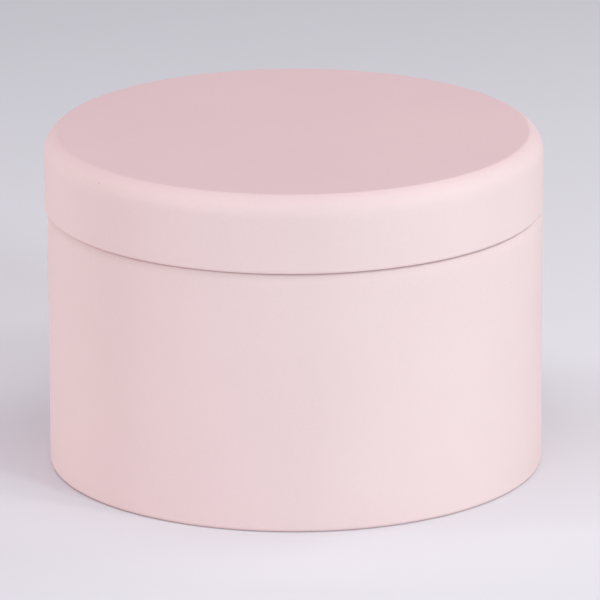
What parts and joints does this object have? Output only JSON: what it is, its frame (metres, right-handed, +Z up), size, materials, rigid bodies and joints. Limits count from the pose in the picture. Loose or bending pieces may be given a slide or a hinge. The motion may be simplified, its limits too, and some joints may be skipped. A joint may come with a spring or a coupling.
{
  "type": "candle tin",
  "caption": "Round drawn-steel candle tin with a nearly flush slip lid, a rolled rim on a stepped-in neck, and a poured candle with a wick inside.",
  "frame": {"origin": "middle of the circle that the tin stands on", "axes": "+Z up along the tin's axis, from the base towards the lid"},
  "size_m": [0.08, 0.08, 0.0547],
  "materials": {
    "pink_enamel": "satin",
    "wax": "satin",
    "waxed_cotton": "matte",
    "tinned_steel": "satin",
    "adhesive_foam": "matte"
  },
  "bodies": {
    "tin": {"tin_body": "pink_enamel", "wax_fill": "wax", "wick": "waxed_cotton", "wick_sustainer": "tinned_steel", "wick_sticker": "adhesive_foam"},
    "lid": {"lid": "pink_enamel"}
  },
  "joints": [
    {"name": "lid_lift", "type": "slide", "parent": "tin", "child": "lid", "axis": [0, 0, 1], "range_m": [0, 0.06]}
  ]
}
